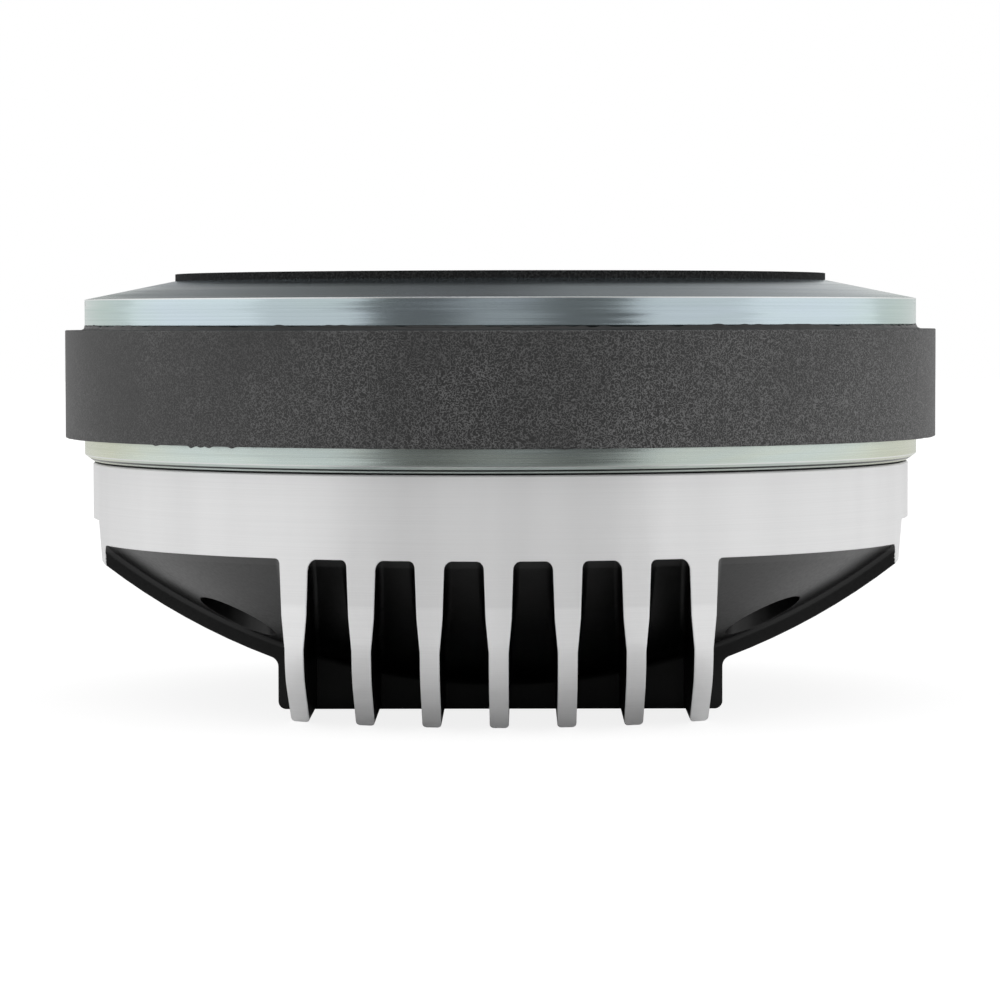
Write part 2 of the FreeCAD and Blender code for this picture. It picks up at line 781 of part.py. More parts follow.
def cover_nose(body):
    """Lathe cut that gives the band, the wings' ends and the fins' fronts one turned outline."""
    steep = "sqrt(1 + fin_nose_slope^2)"
    knee = "(cover_low + (cover_radius - fin_nose_radius) * fin_nose_slope)"
    tangent = f"(fin_nose_round * ({steep} - fin_nose_slope))"
    corners = [
        ("cover_radius", "band_low + cut_overrun"),
        ("cover_radius", f"{knee} + {tangent}"),
        (f"cover_radius - {tangent} / {steep}", None),
        ("fin_nose_radius - cut_overrun", "cover_low - cut_overrun * fin_nose_slope"),
        ("2 * cover_radius", "cover_low - cut_overrun * fin_nose_slope"),
        ("2 * cover_radius", "band_low + cut_overrun"),
    ]
    centres = {1: ("cover_radius - fin_nose_round", f"{knee} + {tangent}")}
    revolve(body, "nose", corners, centres, "Groove")


def cover_roots(body):
    """Fillets where the fins and the bar stand on the dome."""
    centre = FreeCAD.Vector(0, 0, value("bowl_centre"))
    sphere = value("dome_outer_radius")
    pitch = value("fin_pitch")
    thin = value("0.5 * fin_tip_thickness") - NEAR
    thick = value("0.5 * fin_root_thickness") + NEAR
    bar_side = value("bar_half_width")

    def at_root(middle, along):
        from_fin = abs(middle.x - pitch * round(middle.x / pitch))
        by_fin = thin < from_fin < thick and abs(along.y) > abs(along.x)
        by_bar = abs(abs(middle.y) - bar_side) < NEAR and abs(along.x) > abs(along.y)
        return abs((middle - centre).Length - sphere) < NEAR and (by_fin or by_bar)

    round_edges(body, "fin_roots", body.Tip, at_root, "fin_root_round")


def cover_chamber(body):
    """Recess for the gap plate's spigot, room for the diaphragm ring and the rear chamber."""
    corners = [
        ("0", "cover_top"),
        ("recess_radius", "cover_top"),
        ("recess_radius", "recess_low"),
        ("room_radius", "recess_low"),
        ("room_radius", "room_low"),
        ("chamber_radius", "room_low"),
        ("chamber_radius", "bowl_centre - sqrt(chamber_sphere^2 - chamber_radius^2)"),
        ("0", None),
    ]
    revolve(body, "chamber", corners, {6: ("0", "bowl_centre")}, "Groove")


def cover_cuts(body):
    """Relief at the wings' ends, screw wells and holes, and the terminal window."""
    relief_top = "(cover_top - wing_flat_drop)"
    relief_low = f"({relief_top} - wing_flat_height)"
    sketch = new_sketch(body, "relief_outline")
    for side in ("", "-"):
        outline(sketch, [
            (f"{side}wing_flat_x", relief_top),
            (f"{side}(wing_flat_x - wing_flat_lean)", relief_low),
            (f"{side}2 * cover_radius", relief_low),
            (f"{side}2 * cover_radius", relief_top),
        ])
    extrude(body, "relief", sketch, "4 * bar_half_width", "Pocket", middle=True)
    drill(body, "wells", WELL_PLACES, "well_radius", "cover_low - cut_overrun",
          "well_floor_z - cover_low + cut_overrun", True)
    drill(body, "screw_holes", WELL_PLACES, "cover_screw_radius + cover_screw_play",
          "well_floor_z - cut_overrun", "well_floor + 2 * cut_overrun", True)
    notch = outline(new_sketch(body, "notch_outline", offset="-notch_floor_y"), box_corners(
        "-notch_half_width", "notch_half_width",
        "ring_low - 0.5 * notch_height", "ring_low + 0.5 * notch_height"))
    extrude(body, "notch", notch, "cover_radius - notch_floor_y + cut_overrun", "Pocket")
    window = outline(new_sketch(body, "window_outline", offset="-notch_floor_y"), box_corners(
        "-window_half_width", "window_half_width", "window_low", "window_top"))
    room_wall_y = "sqrt(room_radius^2 - window_half_width^2)"
    extrude(body, "window", window, f"notch_floor_y - {room_wall_y} + cut_overrun", "Pocket", reverse=True)
    sketch = new_sketch(body, "terminal_screw_places", offset="-notch_floor_y")
    circles(sketch, TERMINAL_SCREW_PLACES, "terminal_screw_radius")
    extrude(body, "terminal_screw_holes", sketch, "terminal_screw_length - block_thickness", "Pocket",
            reverse=True)


def cover_washers():
    """Four flat washers on the floors of the screw wells."""
    body = new_body("cover_washer", grouped=True)
    revolve(body, "shape", box_corners("cover_screw_radius + cover_screw_play", "washer_radius",
                                       "cover_screw_seat", "well_floor_z"))
    body.setExpression("Placement.Base.x", bound("well_x"))
    body.setExpression("Placement.Base.y", bound("well_y"))
    mirrored_group("cover_washers", body, [ACROSS_X, ACROSS_Y])


def cover_screws():
    """Four socket-head screws that hold the rear cover to the gap plate."""
    body = new_body("cover_screw", grouped=True)
    corners = [
        ("0", "cover_screw_seat - cover_head_height"),
        ("cover_head_radius - cover_head_edge", "cover_screw_seat - cover_head_height"),
        ("cover_head_radius", "cover_screw_seat - cover_head_height + cover_head_edge"),
        ("cover_head_radius", "cover_screw_seat"),
        ("cover_screw_radius", "cover_screw_seat"),
        ("cover_screw_radius", "gap_low + cover_screw_grip"),
        ("0", "gap_low + cover_screw_grip"),
    ]
    revolve(body, "shape", corners)
    sketch = new_sketch(body, "socket_outline", "XY_Plane", "cover_screw_seat - cover_head_height")
    half = "(0.5 * cover_socket_width)"
    corner = "(cover_socket_width / sqrt(3))"
    outline(sketch, [
        (corner, "0"),
        (f"0.5 * {corner}", half),
        (f"-0.5 * {corner}", half),
        (f"-{corner}", "0"),
        (f"-0.5 * {corner}", f"-{half}"),
        (f"0.5 * {corner}", f"-{half}"),
    ])
    extrude(body, "socket", sketch, "cover_socket_depth", "Pocket", reverse=True)
    body.setExpression("Placement.Base.x", bound("well_x"))
    body.setExpression("Placement.Base.y", bound("well_y"))
    mirrored_group("cover_screws", body, [ACROSS_X, ACROSS_Y])


def damping_pad():
    """Foam disc on the floor of the rear chamber."""
    body = new_body("damping_pad")
    corners = [
        ("0", "bowl_centre - chamber_sphere"),
        ("pad_radius", None),
        ("pad_radius", "bowl_centre - sqrt(chamber_sphere^2 - pad_radius^2) + pad_thickness"),
        ("0", None),
    ]
    centres = {0: ("0", "bowl_centre"), 2: ("0", "bowl_centre + pad_thickness")}
    revolve(body, "disc", corners, centres)


def terminal_block():
    """Moulded block in the band's window: a plate with a deep back that grips two tabs."""
    body = new_body("terminal_block")
    plate = outline(new_sketch(body, "plate_outline", offset="-notch_floor_y"), box_corners(
        "-(notch_half_width - block_play)", "notch_half_width - block_play",
        "ring_low - 0.5 * notch_height + block_play", "ring_low + 0.5 * notch_height - block_play"))
    extrude(body, "plate", plate, "block_thickness", reverse=True)
    back = outline(new_sketch(body, "back_outline", offset="-notch_floor_y"), box_corners(
        "-(window_half_width - block_play)", "window_half_width - block_play",
        "window_low + block_play", "window_top - block_play"))
    extrude(body, "back", back, "block_depth")
    slots = new_sketch(body, "slot_outline", offset="-block_face")
    for side in ("", "-"):
        outline(slots, box_corners(
            f"{side}0.5 * (tab_spacing - tab_width)", f"{side}0.5 * (tab_spacing + tab_width)",
            "tab_top - tab_thickness", "tab_top"))
    extrude(body, "slots", slots, "block_thickness + block_depth", "Pocket", reverse=True)
    holes = new_sketch(body, "screw_places", offset="-block_face")
    circles(holes, TERMINAL_SCREW_PLACES, "terminal_screw_radius + terminal_hole_play")
    extrude(body, "screw_holes", holes, "block_thickness", "Pocket", reverse=True)


def terminal_tabs():
    """Two flat brass tabs through the terminal block, each with a hole near its tip."""
    body = new_body("terminal_tab", grouped=True)
    left = "0.5 * (tab_spacing - tab_width)"
    right = "0.5 * (tab_spacing + tab_width)"
    tail = "notch_floor_y - block_depth - tab_tail"
    tip = "block_face + tab_reach"
    sketch = outline(new_sketch(body, "outline", "XY_Plane", "tab_top"), [
        (left, tail),
        (right, tail),
        (right, f"{tip} - tab_tip_chamfer"),
        (f"{right} - tab_tip_chamfer", tip),
        (f"{left} + tab_tip_chamfer", tip),
        (left, f"{tip} - tab_tip_chamfer"),
    ])
    extrude(body, "blade", sketch, "tab_thickness", reverse=True)
    hole = circles(new_sketch(body, "hole_place", "XY_Plane", "tab_top"),
                   [("0.5 * tab_spacing", f"{tip} - tab_hole_setback")], "tab_hole_radius")
    extrude(body, "hole", hole, "tab_thickness", "Pocket")
    mirrored_group("terminal_tabs", body, [ACROSS_X])


def lead_strips():
    """Two flat leads from the diaphragm ring to the inner ends of the tabs."""
    body = new_body("lead_strip", grouped=True)
    sketch = outline(new_sketch(body, "outline", "XY_Plane", "ring_low"), box_corners(
        "0.5 * (tab_spacing - strip_width)", "0.5 * (tab_spacing + strip_width)",
        "surround_out + surround_flange + strip_setback", "notch_floor_y - block_depth - strip_gap"))
    extrude(body, "strip", sketch, "strip_thickness", reverse=True)
    mirrored_group("lead_strips", body, [ACROSS_X])


def terminal_screws():
    """Two pan-head screws that hold the terminal block."""
    body = new_body("terminal_screw", grouped=True)
    corners = [
        ("0", "terminal_head_height"),
        ("pan_head_crown * terminal_head_radius", "terminal_head_height"),
        ("terminal_head_radius", "0.5 * terminal_head_height"),
        ("terminal_head_radius", "0"),
        ("terminal_screw_radius", "0"),
        ("terminal_screw_radius", "-terminal_screw_length"),
        ("0", "-terminal_screw_length"),
    ]
    revolve(body, "shape", corners)
    body.Placement = FreeCAD.Placement(FreeCAD.Vector(), FreeCAD.Rotation(FreeCAD.Vector(1, 0, 0), -90))
    body.setExpression("Placement.Base.x", bound("terminal_screw_x"))
    body.setExpression("Placement.Base.y", bound("block_face"))
    body.setExpression("Placement.Base.z", bound("ring_low"))
    mirrored_group("terminal_screws", body, [ACROSS_X])


for make in (front_gasket, front_plate, front_glue_bead, pole_piece, shorting_ring, phase_plug,
             magnet_ring, gap_plate, diaphragm_shim, diaphragm_ring, ring_screws, locating_pins,
             diaphragm_surround, diaphragm_dome, coil_former, coil_winding, lead_strips,
             cover_gasket, rear_cover, damping_pad, cover_washers, cover_screws,
             terminal_block, terminal_tabs, terminal_screws):
    make()
doc.recompute()

failed = [item.Name for item in doc.Objects if "Invalid" in item.State or "Error" in item.State]
if failed:
    raise SystemExit(f"these objects failed: {failed}")
for node in nodes:
    if node.Shape.isNull() or not node.Shape.isValid():
        raise SystemExit(f"no valid shape: {node.Label}")

os.makedirs(PARTS_FOLDER, exist_ok=True)
for node in nodes:
    node.Shape.exportStep(f"{PARTS_FOLDER}/{node.Label}.step")
    print(node.Label, len(node.Shape.Solids), round(node.Shape.Volume, 1))
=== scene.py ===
import logging
import math
from dataclasses import dataclass, field
from enum import Enum

import bpy
import numpy as np
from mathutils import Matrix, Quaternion, Vector


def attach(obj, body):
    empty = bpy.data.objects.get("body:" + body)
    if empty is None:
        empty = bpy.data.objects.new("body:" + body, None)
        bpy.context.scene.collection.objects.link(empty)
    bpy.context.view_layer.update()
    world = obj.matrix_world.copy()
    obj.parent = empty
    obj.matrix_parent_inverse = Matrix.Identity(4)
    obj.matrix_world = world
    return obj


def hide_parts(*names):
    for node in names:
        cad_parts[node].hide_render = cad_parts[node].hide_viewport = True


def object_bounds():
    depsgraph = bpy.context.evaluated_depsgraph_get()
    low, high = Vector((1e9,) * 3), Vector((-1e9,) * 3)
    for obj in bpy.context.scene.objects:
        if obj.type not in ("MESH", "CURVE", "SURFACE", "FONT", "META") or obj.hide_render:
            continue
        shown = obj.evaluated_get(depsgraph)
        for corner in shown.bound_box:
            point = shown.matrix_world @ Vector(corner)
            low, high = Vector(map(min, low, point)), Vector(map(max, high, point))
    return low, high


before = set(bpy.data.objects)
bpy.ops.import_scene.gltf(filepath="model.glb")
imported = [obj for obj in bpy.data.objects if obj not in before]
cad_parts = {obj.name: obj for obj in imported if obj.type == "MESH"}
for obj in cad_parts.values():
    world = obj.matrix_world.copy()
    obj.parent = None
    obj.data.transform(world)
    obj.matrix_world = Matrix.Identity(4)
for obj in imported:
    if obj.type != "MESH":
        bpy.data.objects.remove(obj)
cad_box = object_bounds()

log = logging.getLogger("driver_looks")
MM = 0.001

Socket = bpy.types.NodeSocket
Colour = tuple[float, float, float]
Point = tuple[float, float, float]
Cells = tuple[float, float, float]


class Body(Enum):
    """CAD body that a new piece rides on."""

    DRIVER = "driver"


class Grain(Enum):
    """Way that fine tool marks run over a metal face."""

    TURNED = "turned"
    ROLLED = "rolled"


class Graph:
    """Short calls that grow one material's node tree on Object coordinates."""

    def __init__(self, name: str) -> None:
        """Start a material of that name with only its output.

        Args:
            name: the finish's name.
        """
        self.material = bpy.data.materials.new(name)
        self.material.use_nodes = True
        self.tree = self.material.node_tree
        self.tree.nodes.clear()
        self.output = self.tree.nodes.new("ShaderNodeOutputMaterial")
        self.place = self.tree.nodes.new("ShaderNodeTexCoord").outputs["Object"]

    def feed(self, socket: Socket, value: object) -> None:
        """Link a socket, or set it where the value is a constant.

        Args:
            socket: the input to fill.
            value: an output socket, a number or a tuple.
        """
        if isinstance(value, bpy.types.NodeSocket):
            self.tree.links.new(value, socket)
            return
        if isinstance(value, tuple) and socket.type == "RGBA":
            value = (*value[:3], 1.0)
        socket.default_value = value

    def add(self, kind: str, inputs: dict[str, object], **settings: object) -> bpy.types.Node:
        """Add a node.

        Args:
            kind: the node's type name.
            inputs: values for its inputs, by name or index.
            settings: the node's own options.

        Returns:
            The new node.
        """
        node = self.tree.nodes.new(kind)
        for option, choice in settings.items():
            setattr(node, option, choice)
        for key, value in inputs.items():
            self.feed(node.inputs[key], value)
        return node

    def math(self, operation: str, first: object, second: object = 0.0, clamp: bool = False) -> Socket:
        """Result of one Math node.

        Args:
            operation: its operation.
            first: left value.
            second: right value.
            clamp: True to keep the result from 0 to 1.

        Returns:
            The result's socket.
        """
        node = self.add("ShaderNodeMath", {0: first, 1: second}, operation=operation, use_clamp=clamp)
        return node.outputs[0]

    def axes(self) -> tuple[Socket, Socket, Socket]:
        """X, Y and Z of the point, in metres."""
        node = self.add("ShaderNodeSeparateXYZ", {0: self.place})
        return node.outputs[0], node.outputs[1], node.outputs[2]

    def radius(self) -> Socket:
        """Distance of the point from the Z axis, in metres."""
        across, along, _ = self.axes()
        total = self.math("ADD", self.math("MULTIPLY", across, across), self.math("MULTIPLY", along, along))
        return self.math("SQRT", total)

    def stretched(self, across: float, along: float, up: float) -> Socket:
        """Coordinates scaled unevenly, so that a pattern is drawn out.

        Args:
            across: pattern cells per metre along X.
            along: cells per metre along Y.
            up: cells per metre along Z.

        Returns:
            The vector's socket.
        """
        node = self.add("ShaderNodeMapping", {"Vector": self.place, "Scale": (across, along, up)})
        return node.outputs[0]

    def noise(self, vector: Socket, scale: float, detail: float = 3.0, rough: float = 0.5,
              warp: float = 0.0) -> Socket:
        """Value of a noise texture.

        Args:
            vector: where it is read.
            scale: its cells per unit of the vector.
            detail: its octaves.
            rough: how strong the fine octaves are.
            warp: how far it is distorted.

        Returns:
            The value's socket, about 0.5 on average.
        """
        node = self.add("ShaderNodeTexNoise", {"Vector": vector, "Scale": scale, "Detail": detail,
                                               "Roughness": rough, "Distortion": warp})
        return node.outputs[0]

    def remap(self, value: Socket, low: float, high: float, to_low: float = 0.0, to_high: float = 1.0,
              smooth: bool = False) -> Socket:
        """Value carried from one range to another, kept inside the second.

        Args:
            value: what is carried over.
            low: start of its range.
            high: end of its range.
            to_low: result at the start.
            to_high: result at the end.
            smooth: True for an eased course.

        Returns:
            The result's socket.
        """
        node = self.add("ShaderNodeMapRange", {0: value, 1: low, 2: high, 3: to_low, 4: to_high},
                        interpolation_type="SMOOTHSTEP" if smooth else "LINEAR")
        return node.outputs[0]

    def blend(self, share: object, first: object, second: object) -> Socket:
        """Colour between two colours.

        Args:
            share: 0 for the first, 1 for the second.
            first: first colour.
            second: second colour.

        Returns:
            The colour's socket.
        """
        node = self.tree.nodes.new("ShaderNodeMix")
        node.data_type = "RGBA"
        self.feed(node.inputs[0], share)
        self.feed(node.inputs[6], first)
        self.feed(node.inputs[7], second)
        return node.outputs[2]

    def shade(self, colour: object, factor: object) -> Socket:
        """Colour made lighter or darker by a factor.

        Args:
            colour: what is shaded.
            factor: 1 keeps it as it is.

        Returns:
            The colour's socket.
        """
        node = self.add("ShaderNodeVectorMath", {0: colour}, operation="SCALE")
        self.feed(node.inputs["Scale"], factor)
        return node.outputs[0]

    def relief(self, height: Socket, depth: float, strength: float = 1.0,
               base: Socket | None = None) -> Socket:
        """Normal of a surface with a fine relief.

        Args:
            height: relief from 0 to 1.
            depth: metres that a height of 1 stands for.
            strength: share of the effect.
            base: normal under it.

        Returns:
            The normal's socket.
        """
        inputs = {"Height": height, "Distance": depth, "Strength": strength}
        if base is not None:
            inputs["Normal"] = base
        return self.add("ShaderNodeBump", inputs).outputs[0]

    def eased(self, radius: float) -> Socket:
        """Normal with every edge eased to a small radius, in metres."""
        return self.add("ShaderNodeBevel", {"Radius": radius}, samples=6).outputs[0]

    def swayed(self, normal: Socket, sway: Socket) -> Socket:
        """Normal turned a little round the Z axis, by its own amount on each turned line.

        Args:
            normal: what is turned.
            sway: the turn, in radians.

        Returns:
            The normal's socket.
        """
        up = (0.0, 0.0, 1.0)
        aside = self.add("ShaderNodeVectorMath", {0: up, 1: normal}, operation="CROSS_PRODUCT").outputs[0]
        step = self.shade(aside, sway)
        total = self.add("ShaderNodeVectorMath", {0: normal, 1: step}, operation="ADD").outputs[0]
        return self.add("ShaderNodeVectorMath", {0: total}, operation="NORMALIZE").outputs[0]

    def finish(self, **inputs: object) -> bpy.types.Material:
        """Close the tree with a Principled shader.

        Args:
            inputs: its inputs by name, with _ for a space.

        Returns:
            The material.
        """
        named = {key.replace("_", " "): value for key, value in inputs.items()}
        shader = self.add("ShaderNodeBsdfPrincipled", named)
        self.tree.links.new(shader.outputs[0], self.output.inputs["Surface"])
        return self.material


@dataclass(frozen=True)
class PlatedSteel:
    """Turned steel with a clear passivated plating that goes from blue to straw.

    Cells are a pattern's cells per metre along X, Y and Z. Places on the bevel are shares of
    its height, from its foot up.
    """

    name: str
    cool: Colour = (0.6, 0.7, 0.76)
    warm: Colour = (0.57, 0.7, 0.66)
    rough: float = 0.17
    line_depth: float = 0.007 * MM
    sway: float = 0.05
    edge: float = 0.18 * MM
    warm_from: float = 0.06
    warm_to: float = 0.08
    # Painted highlight: a thin near-white line along one edge of the plate, a little rougher.
    highlight_edge: float = -3.6 * MM
    painted_highlight: Colour = (0.97, 0.98, 0.97)
    highlight_core: float = 0.06 * MM
    highlight_reach: float = 0.16 * MM
    highlight_share: float = 0.85
    highlight_rough: float = 0.12
    line_cells: Cells = (9.0, 9.0, 9000.0)
    blotch_cells: Cells = (22.0, 22.0, 130.0)
    streak_cells: Cells = (5.0, 5.0, 1500.0)
    # Painted shade on the lower bevel's lower half, with a painted highlight line near its foot.
    bevel_low: float | None = None
    bevel_high: float = 0.0
    shade_to: float = 0.5
    lit_from: float = 0.62
    shade_level: float = 0.02
    lit_level: float = 1.15
    glint: float = 0.16
    glint_core: float = 0.07
    glint_reach: float = 0.17
    glint_level: float = 1.2

    def bevel_painted_light(self, graph: Graph) -> Socket:
        """Painted light on the lower bevel: painted shade in its lower half, but for one thin painted
        highlight near its foot.

        Args:
            graph: the material's graph.

        Returns:
            The level's socket, a little over 1 from the bevel's upper half on.
        """
        _, _, up = graph.axes()
        along = graph.remap(up, self.bevel_low, self.bevel_high)
        shaded = graph.remap(along, self.shade_to, self.lit_from, self.shade_level, self.lit_level)
        aside = graph.math("ABSOLUTE", graph.math("SUBTRACT", along, self.glint))
        glint = graph.remap(aside, self.glint_core, self.glint_reach, self.glint_level, 0.0)
        return graph.math("MAXIMUM", shaded, glint)

    def build(self) -> bpy.types.Material:
        """Blotchy plating, fine lines round the axis, streaked reflections and a painted highlight along
        one edge.
        """
        graph = Graph(self.name)
        lines = graph.noise(graph.stretched(*self.line_cells), 1.0, 4.0, 0.65)
        blotch = graph.noise(graph.stretched(*self.blotch_cells), 1.0, 3.0, 0.6, 0.6)
        across, _, _ = graph.axes()
        side = graph.remap(graph.math("ABSOLUTE", across), self.warm_from, self.warm_to, smooth=True)
        share = graph.math("ADD", graph.remap(blotch, 0.35, 0.7, 0.0, 0.45), side, clamp=True)
        colour = graph.blend(share, self.cool, self.warm)
        colour = graph.shade(colour, graph.remap(lines, 0.3, 0.7, 0.9, 1.05))
        # Painted shade and a painted highlight on the lower bevel.
        if self.bevel_low is not None:
            colour = graph.shade(colour, self.bevel_painted_light(graph))
        streak = graph.noise(graph.stretched(*self.streak_cells), 1.0, 4.0, 0.7)
        _, _, up = graph.axes()
        # Painted highlight along one edge: colour blended towards near white, roughness raised.
        painted_highlight = graph.remap(graph.math("ABSOLUTE", graph.math("SUBTRACT", up, self.highlight_edge)),
                             self.highlight_core, self.highlight_reach, 1.0, 0.0)
        colour = graph.blend(graph.math("MULTIPLY", painted_highlight, self.highlight_share), colour, self.painted_highlight)
        rough = graph.remap(streak, 0.3, 0.75, self.rough - 0.04, self.rough + 0.1)
        rough = graph.math("ADD", rough, graph.math("MULTIPLY", painted_highlight, self.highlight_rough))
        normal = graph.relief(lines, self.line_depth, base=graph.eased(self.edge))
        normal = graph.swayed(normal, graph.remap(streak, 0.2, 0.8, -self.sway, self.sway))
        return graph.finish(Base_Color=colour, Metallic=1.0, Roughness=rough, Normal=normal)


@dataclass(frozen=True)
class Ferrite:
    """Sintered ferrite: dark grey, with a paler worm-like grain that comes and goes."""

    name: str = "ferrite"
    dark: Colour = (0.024, 0.024, 0.024)
    pale: Colour = (0.15, 0.15, 0.15)
    cell: float = 0.46 * MM
    worm_width: float = 0.1
    patch_cells: float = 45.0
    fine_cells: float = 4200.0
    drift_across: float = 3.2
    drift_up: float = -9.0
    relief_depth: float = 0.03 * MM
    edge: float = 0.25 * MM

    def build(self) -> bpy.types.Material:
        """Thin pale lines where a warped noise crosses its middle value."""
        graph = Graph(self.name)
        across, _, up = graph.axes()
        grain = graph.noise(graph.place, 1.0 / self.cell, 0.6, 0.5, 0.25)
        ridge = graph.math("ABSOLUTE", graph.math("SUBTRACT", grain, 0.5))
        worm = graph.remap(ridge, 0.0, self.worm_width, 1.0, 0.0, smooth=True)
        patch = graph.noise(graph.place, self.patch_cells, 3.0, 0.6)
        drift = graph.math("ADD", graph.math("MULTIPLY", across, self.drift_across),
                           graph.math("MULTIPLY", up, self.drift_up))
        cover = graph.remap(graph.math("ADD", patch, drift), 0.35, 0.95, 0.2, 0.8)
        fine = graph.noise(graph.place, self.fine_cells, 3.0, 0.7)
        colour = graph.blend(graph.math("MULTIPLY", worm, cover), self.dark, self.pale)
        colour = graph.shade(colour, graph.remap(fine, 0.3, 0.7, 0.78, 1.22))
        height = graph.math("ADD", graph.math("MULTIPLY", worm, 0.5), fine)
        normal = graph.relief(height, self.relief_depth, 0.7, graph.eased(self.edge))
        return graph.finish(Base_Color=colour, Roughness=0.52, Specular_IOR_Level=0.5, Normal=normal)


@dataclass(frozen=True)
class TurnedCasting:
    """Black painted casting whose turned outside is left bright.

    The lathe's outline in radius R and height z is a cylinder down to arc_top, an arc of
    arc_radius, then a cone. A point is bright where its own radius comes within a small
    margin of that outline.
    """

    name: str = "turned_casting"
    cylinder: float = 79.7 * MM
    arc_top: float = -65.149 * MM
    arc_low: float = -73.678 * MM
    arc_radius: float = 10.0 * MM
    cone_slope: float = 0.613
    band_low: float = -50.2 * MM
    lip: float = 1.35 * MM
    margin: float = 0.07 * MM
    band_margin: float = 0.6 * MM
    rag_depth: float = 0.34 * MM
    rag_cells: float = 900.0
    mottle_cells: float = 1400.0
    line_cells: Cells = (14.0, 14.0, 7000.0)
    tone_cells: Cells = (75.0, 75.0, 3.0)
    edge: float = 0.35 * MM
    # Heights of the painted light and shade on the turned metal: a step brighter below nose_top, darker
    # towards the tips.
    nose_top: float = -58.2 * MM
    nose_low: float = -59.0 * MM
    tip_top: float = -66.0 * MM
    tip_low: float = -81.6 * MM
    turned_rough: float = 0.34
    metal_share: float = 0.36
    bright: Colour = (0.87, 0.87, 0.872)
    paint: Colour = (0.0052, 0.0052, 0.0053)
    # Lighter paint on the lip strip under the band: painted light standing in for a lit ledge.
    lip_painted_light: Colour = (0.016, 0.016, 0.016)

    def turned_share(self, graph: Graph) -> Socket:
        """1 on the turned faces and 0 on the painted ones, with a ragged edge.

        Args:
            graph: the material's graph.

        Returns:
            The mask's socket.
        """
        _, _, up = graph.axes()
        drop = graph.math("SUBTRACT", self.arc_top, up)
        in_arc = graph.math("MINIMUM", graph.math("MAXIMUM", drop, 0.0), self.arc_top - self.arc_low)
        square = graph.math("SUBTRACT", self.arc_radius ** 2, graph.math("MULTIPLY", in_arc, in_arc))
        below = graph.math("MAXIMUM", graph.math("SUBTRACT", self.arc_low, up), 0.0)
        cone = graph.math("DIVIDE", below, self.cone_slope)
        outline = graph.math("SUBTRACT", graph.math("SQRT", square), cone)
        outline = graph.math("ADD", outline, self.cylinder - self.arc_radius)
        depth = graph.math("SUBTRACT", outline, graph.radius())
        rag = graph.noise(graph.place, self.rag_cells, 3.0, 0.65)
        ragged = graph.remap(rag, 0.42, 0.75, 0.0, self.rag_depth)
        below_lip = graph.remap(up, self.band_low - 1.6 * MM, self.band_low - 1.4 * MM, 1.0, 0.0)
        on_band = graph.remap(up, self.band_low - 0.05 * MM, self.band_low + 0.05 * MM,
                              0.0, self.band_margin)
        margin = graph.math("ADD", graph.math("MULTIPLY", ragged, below_lip), on_band)
        return graph.math("LESS_THAN", depth, graph.math("ADD", margin, self.margin))

    def build(self) -> bpy.types.Material:
        """Turned metal and paint, parted by the lathe's outline, with painted light and shade by height on
        the turned metal and painted light on the lip strip.
        """
        graph = Graph(self.name)
        _, _, up = graph.axes()
        turned = self.turned_share(graph)
        lines = graph.noise(graph.stretched(*self.line_cells), 1.0, 4.0, 0.7)
        tone = graph.noise(graph.stretched(*self.tone_cells), 1.0, 2.0, 0.5)
        # Painted light and shade on the turned metal: a little brighter below the nose's top, darker
        # towards the fin tips where the faces turn down.
        painted_shading = graph.math("MULTIPLY", graph.remap(up, self.nose_top, self.nose_low, 0.95, 1.03),
                          graph.remap(up, self.tip_top, self.tip_low, 1.0, 0.93))
        level = graph.math("MULTIPLY", painted_shading, graph.remap(tone, 0.3, 0.7, 0.94, 1.03))
        level = graph.math("MULTIPLY", level, graph.remap(lines, 0.3, 0.7, 0.96, 1.02))
        metal = graph.shade(self.bright, level)
        mottle = graph.noise(graph.place, self.mottle_cells, 4.0, 0.6)
        # Painted light: the lip strip under the band gets the lighter lip paint.
        on_lip = graph.remap(up, self.band_low - self.lip - 0.1 * MM, self.band_low - self.lip)
        paint = graph.blend(on_lip, self.paint, self.lip_painted_light)
        paint = graph.shade(paint, graph.remap(mottle, 0.3, 0.7, 0.8, 1.3))
        colour = graph.blend(turned, paint, metal)
        paint_rough = graph.remap(mottle, 0.3, 0.7, 0.28, 0.38)
        rough = graph.math("ADD", graph.math("MULTIPLY", paint_rough, graph.math("SUBTRACT", 1.0, turned)),
                           graph.math("MULTIPLY", turned, self.turned_rough))
        eased = graph.eased(self.edge)
        paint_normal = graph.relief(mottle, 0.02 * MM, 0.6, eased)
        height = graph.math("MULTIPLY", lines, turned)
        normal = graph.relief(height, 0.01 * MM, 1.0, paint_normal)
        return graph.finish(Base_Color=colour, Metallic=graph.math("MULTIPLY", turned, self.metal_share),
                            Roughness=rough, Specular_IOR_Level=0.4, Normal=normal)


@dataclass(frozen=True)
class CellFoam:
    """Black cellular foam with open cells."""

    name: str = "cell_foam"
    dark: Colour = (0.005, 0.005, 0.005)
    pale: Colour = (0.045, 0.045, 0.045)
    cells: float = 2300.0
    specks: float = 3100.0
    depth: float = 0.12 * MM

    def build(self) -> bpy.types.Material:
        """Cells from a cell pattern, paler on their walls."""
        graph = Graph(self.name)
        cells = graph.add("ShaderNodeTexVoronoi", {"Vector": graph.place, "Scale": self.cells},
                          feature="F1").outputs["Distance"]
        speck = graph.noise(graph.place, self.specks, 3.0, 0.7)
        share = graph.math("MULTIPLY", graph.remap(cells, 0.2, 0.75), graph.remap(speck, 0.35, 0.75))
        colour = graph.blend(share, self.dark, self.pale)
        normal = graph.relief(cells, self.depth, 0.8)
        return graph.finish(Base_Color=colour, Roughness=0.9, Specular_IOR_Level=0.2, Normal=normal)


